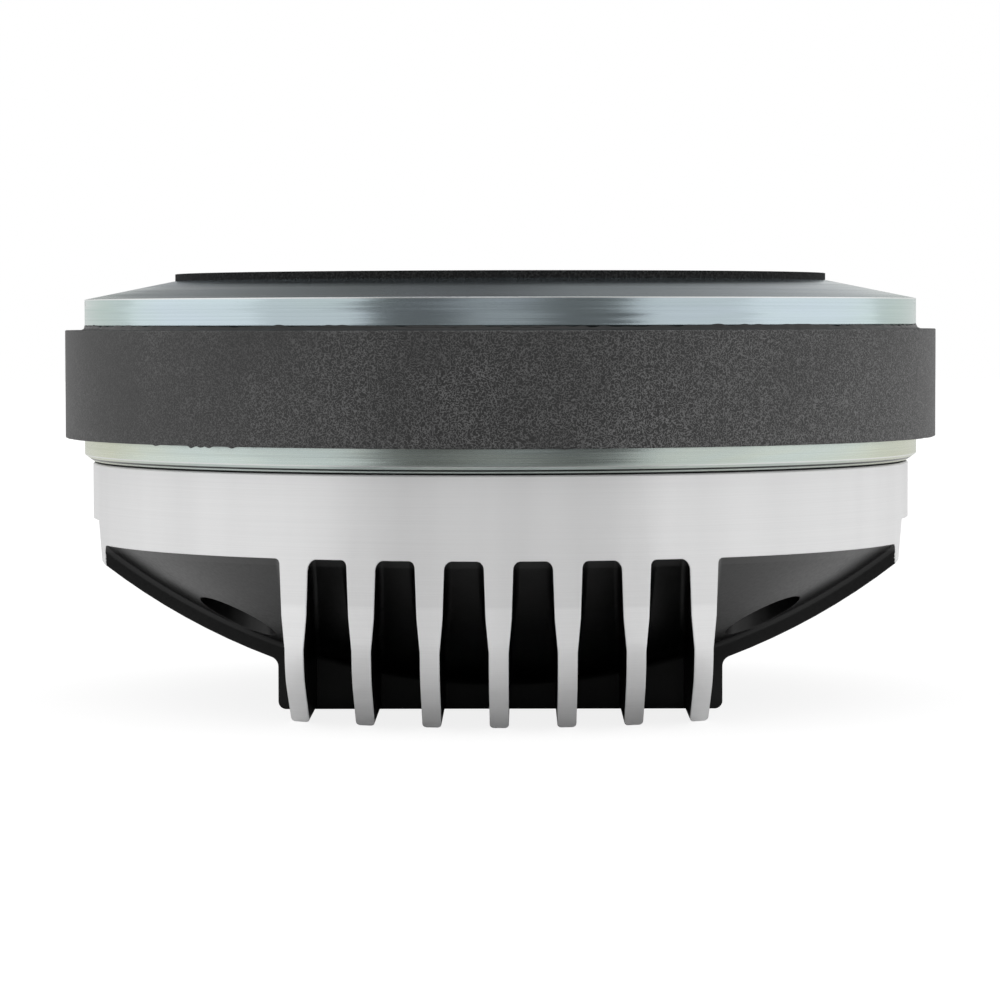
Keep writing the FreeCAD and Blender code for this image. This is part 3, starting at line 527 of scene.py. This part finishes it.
@dataclass(frozen=True)
class PlainMetal:
    """Bare or plated metal with fine tool marks."""

    name: str
    colour: Colour
    rough: float = 0.35
    grain: Grain = Grain.TURNED
    mark_depth: float = 0.01 * MM
    turned_cells: Cells = (30.0, 30.0, 6000.0)
    rolled_cells: float = 1800.0
    edge: float = 0.12 * MM

    def build(self) -> bpy.types.Material:
        """Marks that run round the axis, or a fine even grain."""
        graph = Graph(self.name)
        if self.grain is Grain.TURNED:
            marks = graph.noise(graph.stretched(*self.turned_cells), 1.0, 3.0, 0.6)
        else:
            marks = graph.noise(graph.place, self.rolled_cells, 4.0, 0.6)
        colour = graph.shade(self.colour, graph.remap(marks, 0.3, 0.7, 0.85, 1.08))
        rough = graph.remap(marks, 0.3, 0.7, self.rough - 0.06, self.rough + 0.08)
        normal = graph.relief(marks, self.mark_depth, 0.8, graph.eased(self.edge))
        return graph.finish(Base_Color=colour, Metallic=1.0, Roughness=rough, Normal=normal)


@dataclass(frozen=True)
class PlainSolid:
    """Moulded, sheet or cured stuff that isn't metal, with an even mottle."""

    name: str
    colour: Colour
    rough: float = 0.55
    cells: float = 900.0
    depth: float = 0.02 * MM
    spread: float = 0.2
    edge: float = 0.12 * MM

    def build(self) -> bpy.types.Material:
        """Colour, roughness and relief from one noise."""
        graph = Graph(self.name)
        mottle = graph.noise(graph.place, self.cells, 4.0, 0.6)
        level = graph.remap(mottle, 0.3, 0.7, 1.0 - self.spread, 1.0 + self.spread)
        colour = graph.shade(self.colour, level)
        rough = graph.remap(mottle, 0.3, 0.7, self.rough - 0.05, self.rough + 0.08)
        normal = graph.relief(mottle, self.depth, 0.7, graph.eased(self.edge))
        return graph.finish(Base_Color=colour, Roughness=rough, Normal=normal)


Finish = PlainMetal | PlainSolid


def ring_mesh(name: str, grid: np.ndarray, material: bpy.types.Material) -> bpy.types.Object:
    """Closed ring surface from a grid of points, smooth shaded.

    Args:
        name: the piece's name.
        grid: points in metres, of shape (turns, around, 3); both directions close on themselves.
        material: its finish.

    Returns:
        The piece, linked to the scene.
    """
    turns, around, _ = grid.shape
    number = np.arange(turns * around).reshape(turns, around)
    ahead = np.roll(number, -1, 0)
    faces = np.stack([number, np.roll(number, -1, 1), np.roll(ahead, -1, 1), ahead], -1).reshape(-1, 4)
    mesh = bpy.data.meshes.new(name)
    mesh.from_pydata(grid.reshape(-1, 3), [], faces)
    mesh.polygons.foreach_set("use_smooth", np.full(len(faces), True))
    mesh.materials.append(material)
    mesh.update()
    piece = bpy.data.objects.new(name, mesh)
    bpy.context.scene.collection.objects.link(piece)
    return piece


def wander(angle: np.ndarray, rng: np.random.Generator, lowest: int, highest: int,
           fall: float) -> np.ndarray:
    """Smooth random course round a full turn: a sum of cosines of whole wave counts.

    Args:
        angle: where it is read, in radians.
        rng: the seeded source.
        lowest: fewest waves per turn.
        highest: most waves per turn.
        fall: power by which the fine waves are weaker.

    Returns:
        The course, of unit spread.
    """
    waves = np.arange(lowest, highest + 1)
    size = rng.normal(size=waves.size) * waves ** -fall
    shift = rng.uniform(0.0, 2.0 * np.pi, waves.size)
    course = (size[:, None] * np.cos(waves[:, None] * angle[None, :] + shift[:, None])).sum(0)
    return course / course.std()


def dress(node: str, material: bpy.types.Material) -> None:
    """Give a CAD node its finish.

    Args:
        node: the node's name.
        material: the finish.
    """
    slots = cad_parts[node].data.materials
    slots.clear()
    slots.append(material)
    log.info("dressed %s in %s", node, material.name)


def settle(piece: bpy.types.Object, body: Body, slot: str, *stands_for: str) -> None:
    """Ride a new piece on its body and hide the CAD nodes that it stands for.

    Args:
        piece: the new piece.
        body: what it rides on.
        slot: the record's material slot; not used.
        stands_for: CAD nodes that it replaces.
    """
    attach(piece, body.value)
    if stands_for:
        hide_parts(*stands_for)
    log.info("made %s with %d faces", piece.name, len(piece.data.polygons))


@dataclass
class MagnetStack:
    """Front plate, glue bead, ferrite ring and gap plate.

    The bead's rise on the plate and reach on the magnet are a mean and a spread, in
    millimetres. Chips are their count and greatest depth in millimetres.
    """

    plate_radius: float = 81.2 * MM
    plate_low: float = -9.4 * MM
    magnet_radius: float = 85.0 * MM
    magnet_bore: float = 45.0 * MM
    magnet_low: float = -30.2 * MM
    around: int = 2160
    seed: int = 11
    bead_rise: tuple[float, float] = (0.85, 0.1)
    bead_reach: tuple[float, float] = (0.75, 0.16)
    bead_waves: tuple[int, int] = (5, 220)
    bead_fall: float = 0.6
    bead_hollow: float = 0.35
    bead_depth: float = 0.9 * MM
    low_chips: tuple[int, float] = (60, 0.32)
    top_chips: tuple[int, float] = (30, 0.22)
    edge_ease: float = 0.09 * MM
    crumb_bearings: tuple[float, ...] = (-40.9, -39.3, -38.0, -34.3, -47.5, 8.0)
    crumb_drops: tuple[float, ...] = (0.42, 0.3, 0.4, 0.34, 0.22, 0.2)
    crumb_width: float = 0.62 * MM
    crumb_reach: float = 0.8 * MM

    def bead(self, material: bpy.types.Material) -> bpy.types.Object:
        """Glue bead: a hollow fillet in the corner, whose two feet wander round the ring.

        The section's front is an arc between a foot on the plate's side and one on the
        magnet; its back lies inside the plate's lower bevel.

        Args:
            material: its finish.

        Returns:
            The bead.
        """
        rng = np.random.default_rng(self.seed)
        angle = np.linspace(0.0, 2.0 * np.pi, self.around, endpoint=False)
        rise, reach = ((mean + spread * wander(angle, rng, *self.bead_waves, self.bead_fall)) * MM
                       for mean, spread in (self.bead_rise, self.bead_reach))
        share = np.linspace(0.0, 1.0, 7)
        hollow = self.bead_hollow * np.sin(np.pi * share)
        out = reach[:, None] * share[None, :] * (1.0 - hollow[None, :])
        up = rise[:, None] * (1.0 - share[None, :]) * (1.0 - hollow[None, :])
        back = np.full((self.around, 1), self.plate_radius - self.bead_depth)
        radius = np.concatenate([self.plate_radius + out, back], 1)
        height = np.concatenate([self.plate_low + up, np.full((self.around, 1), self.plate_low)], 1)
        grid = np.stack([radius * np.sin(angle)[:, None], -radius * np.cos(angle)[:, None], height], -1)
        return ring_mesh("glue_bead", grid, material)

    def ferrite(self, material: bpy.types.Material) -> bpy.types.Object:
        """Ferrite ring: a rectangle's outline carried round the axis, with chipped edges.

        Each chip is a bell-shaped dent whose depth falls off with the distance from the
        edge; the dents lie at random angles, closer together on the lower edge. A few crumbs
        hang below that edge, as bells in the other direction.

        Args:
            material: its finish.

        Returns:
            The ring.
        """
        rng = np.random.default_rng(self.seed + 1)
        angle = np.linspace(0.0, 2.0 * np.pi, self.around, endpoint=False)
        top = self.plate_low
        steps = np.array([0.0, 0.12, 0.25, 0.4, 0.6, 0.9, 1.3, 1.8]) * MM
        middle = 0.5 * (self.magnet_low + top)
        upright = np.concatenate([self.magnet_low + steps, [middle], (top - steps)[::-1]])
        inward = self.magnet_radius - steps[1:]
        radius = np.concatenate([np.full(upright.size, self.magnet_radius), inward,
                                 [self.magnet_bore, self.magnet_bore], inward[::-1]])
        height = np.concatenate([upright, np.full(inward.size, top), [top, self.magnet_low],
                                 np.full(inward.size, self.magnet_low)])
        grid_radius = np.tile(radius, (self.around, 1))
        grid_height = np.tile(height, (self.around, 1))
        for edge, (count, deepest) in ((self.magnet_low, self.low_chips), (top, self.top_chips)):
            centre = rng.uniform(0.0, 2.0 * np.pi, count)
            width = rng.uniform(0.9, 2.2, count) * MM / self.magnet_radius
            deep = deepest * rng.uniform(0.15, 1.0, count) ** 2 * MM
            turn = np.angle(np.exp(1j * (angle[:, None] - centre[None, :])))
            dent = (deep * np.exp(-(turn / width) ** 2)).max(1) + self.edge_ease
            near = np.hypot(grid_radius - self.magnet_radius, grid_height - edge)
            pull = np.clip(dent[:, None] * 1.5 - near, 0.0, None) * 0.5
            pull[grid_radius < self.magnet_radius - 4.0 * MM] = 0.0
            grid_radius = grid_radius - pull
            grid_height = grid_height + pull * (1.0 if edge == self.magnet_low else -1.0)
        crumb = np.radians(self.crumb_bearings)
        hang = np.array(self.crumb_drops) * MM
        turn = np.angle(np.exp(1j * (angle[:, None] - crumb[None, :]))) * self.magnet_radius
        drop = (hang * np.exp(-(turn / self.crumb_width) ** 2)).sum(1)
        near = np.hypot(grid_radius - self.magnet_radius, grid_height - self.magnet_low)
        grid_height = grid_height - drop[:, None] * np.exp(-(near / self.crumb_reach) ** 2)
        grid = np.stack([grid_radius * np.sin(angle)[:, None], -grid_radius * np.cos(angle)[:, None],
                         grid_height], -1)
        return ring_mesh("ferrite_ring", grid[:, ::-1], material)

    def make(self) -> None:
        """Build the bead and the ring and dress the plates."""
        glue = PlainSolid("cured_glue", (0.009, 0.0088, 0.0084), 0.36, 1500.0, 0.03 * MM, 0.35).build()
        settle(self.bead(glue), Body.DRIVER, "front_glue_bead", "front_glue_bead")
        settle(self.ferrite(Ferrite().build()), Body.DRIVER, "magnet_ring", "magnet_ring")
        dress("front_plate", PlatedSteel("front_plating").build())
        dress("gap_plate", PlatedSteel(
            "rear_plating", cool=(0.56, 0.64, 0.62), warm=(0.62, 0.65, 0.52), rough=0.25,
            highlight_edge=-33.45 * MM, bevel_low=-34.7 * MM, bevel_high=-33.45 * MM).build())
        dress("front_gasket", CellFoam().build())


@dataclass
class Throat:
    """Pole piece with its copper sleeve, and the phase plug in the throat."""

    def make(self) -> None:
        """Dress the pieces seen through the throat."""
        dress("pole_piece", PlainMetal("turned_pole", (0.55, 0.57, 0.58), 0.3).build())
        dress("shorting_ring", PlainMetal("copper_sleeve", (0.75, 0.42, 0.28), 0.3).build())
        dress("phase_plug", PlainSolid("moulded_plug", (0.018, 0.018, 0.019), 0.42, 1200.0).build())


@dataclass
class Diaphragm:
    """Dome, surround, coil and the ring that carries them."""

    finishes: dict[str, Finish] = field(default_factory=lambda: {
        "diaphragm_dome": PlainMetal("drawn_dome", (0.5, 0.51, 0.53), 0.28, Grain.ROLLED, 0.004 * MM),
        "diaphragm_surround": PlainSolid("film_surround", (0.5, 0.32, 0.09), 0.25, 500.0, 0.004 * MM),
        "coil_former": PlainSolid("film_former", (0.36, 0.16, 0.03), 0.3, 700.0, 0.004 * MM),
        "coil_winding": PlainMetal("ribbon_wire", (0.72, 0.45, 0.27), 0.32),
        "lead_strips": PlainMetal("lead_strip", (0.75, 0.5, 0.33), 0.35, Grain.ROLLED),
        "diaphragm_ring": PlainMetal("turned_ring", (0.75, 0.75, 0.76), 0.34),
        "diaphragm_shim": PlainSolid("shim_sheet", (0.6, 0.42, 0.12), 0.4, 600.0, 0.005 * MM),
        "ring_screws": PlainMetal("zinc_ring_screw", (0.66, 0.67, 0.64), 0.3, Grain.ROLLED),
        "locating_pins": PlainMetal("ground_pin", (0.65, 0.65, 0.66), 0.22),
    })

    def make(self) -> None:
        """Dress each piece."""
        for node, finish in self.finishes.items():
            dress(node, finish.build())


@dataclass
class RearCover:
    """Finned cover with its screws, gasket and damping pad."""

    def make(self) -> None:
        """Dress each piece."""
        dress("rear_cover", TurnedCasting().build())
        dress("cover_gasket", PlainSolid("gasket_sheet", (0.012, 0.012, 0.012), 0.7, 1500.0).build())
        dress("damping_pad", CellFoam("pad_foam", (0.03, 0.03, 0.03), (0.12, 0.12, 0.12)).build())
        dress("cover_screws", PlainMetal("black_oxide", (0.045, 0.045, 0.047), 0.38, Grain.ROLLED).build())
        dress("cover_washers", PlainMetal("zinc_washer", (0.3, 0.31, 0.31), 0.35, Grain.ROLLED).build())


@dataclass
class Terminals:
    """Block, blades and screws on the far side of the band."""

    def make(self) -> None:
        """Dress each piece."""
        dress("terminal_block", PlainSolid("moulded_block", (0.014, 0.014, 0.015), 0.45, 1500.0).build())
        dress("terminal_tabs", PlainMetal("tinned_blade", (0.72, 0.68, 0.56), 0.3, Grain.ROLLED).build())
        dress("terminal_screws", PlainMetal("zinc_screw", (0.66, 0.67, 0.64), 0.3, Grain.ROLLED).build())


@dataclass(frozen=True)
class Card:
    """Dull card that stands round the object and shows only in its reflections.

    Its bearing and half width are in degrees, its low and high edge and its distance in
    metres. Its level changes from middle_level before the axis to level further out;
    low_level comes on top at its foot and is gone fade_height up, and right_gain is the
    factor right of the axis.
    """

    name: str
    bearing: float
    half_width: float
    low: float
    high: float
    distance: float
    level: float
    middle_level: float
    low_level: float | None = None
    fade_height: float = 0.0
    right_gain: float = 1.0


@dataclass(frozen=True)
class Lamp:
    """Soft rectangular lamp; its level is 1 for white, and it may show in no reflection."""

    name: str
    place: Point
    size: tuple[float, float]
    level: float
    mirrored: bool = True


@dataclass
class Studio:
    """Pale floor, white surround, dull cards, soft lamps and the camera."""

    camera_place: Point = (0.004, -0.774, -0.0075)
    aim_drop: float = 2.625
    aim_left: float = 0.306
    roll: float = 0.12
    lens: float = 141.7
    sensor: float = 36.0
    light_level: float = 0.85
    mirror_level: float = 0.76
    floor_size: float = 8.0
    floor_white: float = 0.9
    floor_glow: float = 1.12
    floor_mirror: float = 0.12
    dull_spread: tuple[float, float] = (0.55, 0.75)
    shadow_fade: tuple[float, float] = (0.2, 0.5)
    shadow_share: float = 0.76
    mirror_fade: tuple[float, float] = (0.045, 0.085)
    card_columns: int = 33
    middle_fade: tuple[float, float] = (0.08, 0.4)
    right_fade: tuple[float, float] = (-0.02, 0.05)
    cards: tuple[Card, ...] = (
        Card("front_card", 0.0, 35.0, -0.0816, 1.1, 1.3, 0.16, 0.42),
        Card("back_card", 180.0, 30.0, 0.14, 1.3, 1.3, 0.08, 0.08, 0.34, 0.5, 1.7),
        Card("low_back_card", 185.0, 13.0, -0.0816, 0.03, 0.6, 0.25, 0.25),
    )
    lamp_target: Point = (0.0, 0.0, -0.04)
    lamps: tuple[Lamp, ...] = (
        Lamp("left_box", (-1.25, 0.05, 0.35), (1.3, 0.9), 0.25),
        Lamp("right_box", (1.25, 0.1, 0.35), (1.3, 0.9), 0.25),
        Lamp("right_glow", (1.3, -0.15, 0.1), (1.0, 1.0), 0.35, False),
        Lamp("high_front_box", (0.0, -1.0, 1.0), (1.2, 0.6), 0.9),
        Lamp("top_box", (0.0, 0.0, 1.3), (1.0, 1.0), 0.4),
    )

    def camera(self) -> None:
        """Camera in front of the object, a little above its middle."""
        data = bpy.data.cameras.new("camera")
        data.lens = self.lens
        data.sensor_width = self.sensor
        data.clip_start = 0.01
        data.clip_end = 50.0
        camera = bpy.data.objects.new("camera", data)
        bpy.context.scene.collection.objects.link(camera)
        left = math.radians(self.aim_left)
        down = math.radians(self.aim_drop)
        ahead = Vector((-math.sin(left) * math.cos(down), math.cos(left) * math.cos(down), -math.sin(down)))
        turn = ahead.to_track_quat("-Z", "Y") @ Quaternion((0.0, 0.0, 1.0), -math.radians(self.roll))
        camera.rotation_mode = "QUATERNION"
        camera.rotation_quaternion = turn
        camera.location = self.camera_place
        bpy.context.scene.camera = camera

    def world(self) -> None:
        """White surround: plain to the camera, softer in reflections and as a light."""
        world = bpy.data.worlds.new("surround")
        world.use_nodes = True
        bpy.context.scene.world = world
        tree = world.node_tree
        path = tree.nodes.new("ShaderNodeLightPath")
        level = None
        for ray, strength in (("Is Glossy Ray", self.mirror_level), ("Is Camera Ray", 1.0)):
            step = tree.nodes.new("ShaderNodeMath")
            step.operation = "MULTIPLY_ADD"
            step.inputs[1].default_value = strength - self.light_level
            step.inputs[2].default_value = self.light_level
            tree.links.new(path.outputs[ray], step.inputs[0])
            if level is not None:
                tree.links.new(level, step.inputs[2])
            level = step.outputs[0]
        back = tree.nodes["Background"]
        back.inputs["Color"].default_value = (1.0, 1.0, 1.0, 1.0)
        tree.links.new(level, back.inputs["Strength"])

    def floor(self) -> None:
        """Pale floor with a light shadow, white further out; its reflection is dull before the object."""
        graph = Graph("pale_floor")
        across, along, _ = graph.axes()
        path = graph.add("ShaderNodeLightPath", {})
        ahead = graph.math("MAXIMUM", graph.math("MULTIPLY", along, -1.0), 0.01)
        spread = graph.math("DIVIDE", graph.math("ABSOLUTE", across), ahead)
        mirrored = graph.remap(spread, *self.dull_spread, self.floor_mirror, self.mirror_level)
        seen = path.outputs["Is Camera Ray"]
        strength = graph.math("ADD", graph.math("MULTIPLY", seen, self.floor_glow), graph.math(
            "MULTIPLY", graph.math("SUBTRACT", 1.0, seen), mirrored))
        glow = graph.add("ShaderNodeEmission", {"Color": (1.0, 1.0, 1.0), "Strength": strength})
        matt = graph.add("ShaderNodeBsdfDiffuse", {"Color": (self.floor_white,) * 3})
        apart = graph.remap(graph.radius(), *self.shadow_fade, self.shadow_share, 1.0, smooth=True)
        clear = graph.remap(graph.radius(), *self.mirror_fade, 0.0, 1.0, smooth=True)
        share = graph.math("MAXIMUM", graph.math("MULTIPLY", seen, apart),
                           graph.math("MULTIPLY", path.outputs["Is Glossy Ray"], clear))
        mix = graph.add("ShaderNodeMixShader", {0: share, 1: matt.outputs[0], 2: glow.outputs[0]})
        graph.tree.links.new(mix.outputs[0], graph.output.inputs["Surface"])
        half = 0.5 * self.floor_size
        low = cad_box[0].z
        mesh = bpy.data.meshes.new("floor")
        corners = [(-half, -half, low), (half, -half, low), (half, half, low), (-half, half, low)]
        mesh.from_pydata(corners, [], [(0, 1, 2, 3)])
        mesh.materials.append(graph.material)
        floor = bpy.data.objects.new("floor", mesh)
        bpy.context.scene.collection.objects.link(floor)

    def stand_card(self, card: Card) -> None:
        """Curved card: x = d sin(b + a), y = -d cos(b + a), for angles a each side of its bearing b.

        Args:
            card: its place, size and level.
        """
        columns = self.card_columns
        turn = np.radians(card.bearing + np.linspace(-1.0, 1.0, columns) * card.half_width)
        foot = np.stack([card.distance * np.sin(turn), -card.distance * np.cos(turn),
                         np.full(columns, card.low)], -1)
        head = foot + np.array([0.0, 0.0, card.high - card.low])
        number = np.arange(columns - 1)
        faces = np.stack([number, number + 1, number + columns + 1, number + columns], -1)
        mesh = bpy.data.meshes.new(card.name)
        mesh.from_pydata(np.concatenate([foot, head]), [], faces)
        graph = Graph(card.name)
        across, _, _ = graph.axes()
        aside = graph.math("ABSOLUTE", across)
        strength = graph.remap(aside, *self.middle_fade, card.middle_level, card.level, smooth=True)
        if card.low_level is not None:
            _, _, up = graph.axes()
            share = graph.remap(up, card.low, card.low + card.fade_height, 1.0, 0.0)
            strength = graph.math("ADD", strength, graph.math("MULTIPLY", share, card.low_level))
        gain = graph.remap(across, *self.right_fade, 1.0, card.right_gain)
        strength = graph.math("MULTIPLY", strength, gain)
        glow = graph.add("ShaderNodeEmission", {"Color": (1.0, 1.0, 1.0), "Strength": strength})
        graph.tree.links.new(glow.outputs[0], graph.output.inputs["Surface"])
        mesh.materials.append(graph.material)
        piece = bpy.data.objects.new(card.name, mesh)
        bpy.context.scene.collection.objects.link(piece)
        piece.visible_camera = False
        piece.visible_diffuse = False
        piece.visible_shadow = False

    def hang_lamp(self, lamp: Lamp) -> None:
        """Lamp at its place, pointed at the object's middle.

        Args:
            lamp: its place, size and level.
        """
        data = bpy.data.lights.new(lamp.name, "AREA")
        data.shape = "RECTANGLE"
        data.size, data.size_y = lamp.size
        data.energy = lamp.level * math.pi * lamp.size[0] * lamp.size[1]
        light = bpy.data.objects.new(lamp.name, data)
        light.visible_glossy = lamp.mirrored
        light.location = lamp.place
        light.rotation_mode = "QUATERNION"
        light.rotation_quaternion = (Vector(self.lamp_target) - Vector(lamp.place)).to_track_quat("-Z", "Y")
        bpy.context.scene.collection.objects.link(light)

    def make(self) -> None:
        """Set up everything round the object."""
        self.camera()
        self.world()
        self.floor()
        for card in self.cards:
            self.stand_card(card)
        for lamp in self.lamps:
            self.hang_lamp(lamp)


def main() -> None:
    """Build and dress every sub-assembly, then the studio."""
    logging.basicConfig(level=logging.INFO, format="%(name)s: %(message)s")
    bpy.context.scene.view_settings.view_transform = "Standard"
    for assembly in (MagnetStack(), Throat(), Diaphragm(), RearCover(), Terminals(), Studio()):
        assembly.make()


if __name__ == "__main__":
    main()
